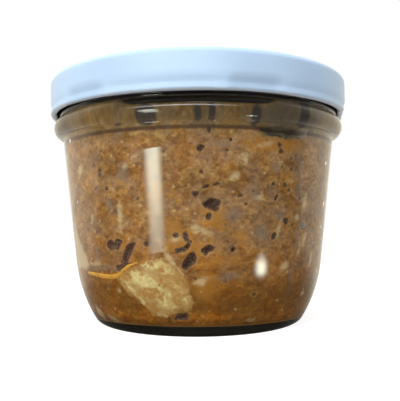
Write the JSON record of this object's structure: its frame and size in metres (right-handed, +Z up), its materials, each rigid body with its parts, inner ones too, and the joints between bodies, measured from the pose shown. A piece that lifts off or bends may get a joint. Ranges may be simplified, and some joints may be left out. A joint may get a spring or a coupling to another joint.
{
  "type": "jar of rillettes",
  "caption": "Low tapered clear glass jar with a rounded heel and a bead ring, closed by a white twist-off lid and filled with coarse brown potted duck.",
  "frame": {"origin": "on the jar's axis, in the plane that it stands on", "axes": "+Z up along the jar's axis, -Y towards the side that shows the lump of pale fat, +X to the right of that side"},
  "size_m": [0.0854, 0.0854, 0.0686],
  "materials": {
    "glass": "gloss",
    "lacquer": "gloss",
    "sealing_compound": "matte",
    "meat": "satin",
    "pale_fat": "satin",
    "yellow_fat": "satin"
  },
  "bodies": {
    "root": {"jar": "glass", "lid": "lacquer", "gasket": "sealing_compound", "rillettes": "meat", "fat_chunk": "pale_fat", "fat_strip": "yellow_fat"}
  },
  "joints": []
}
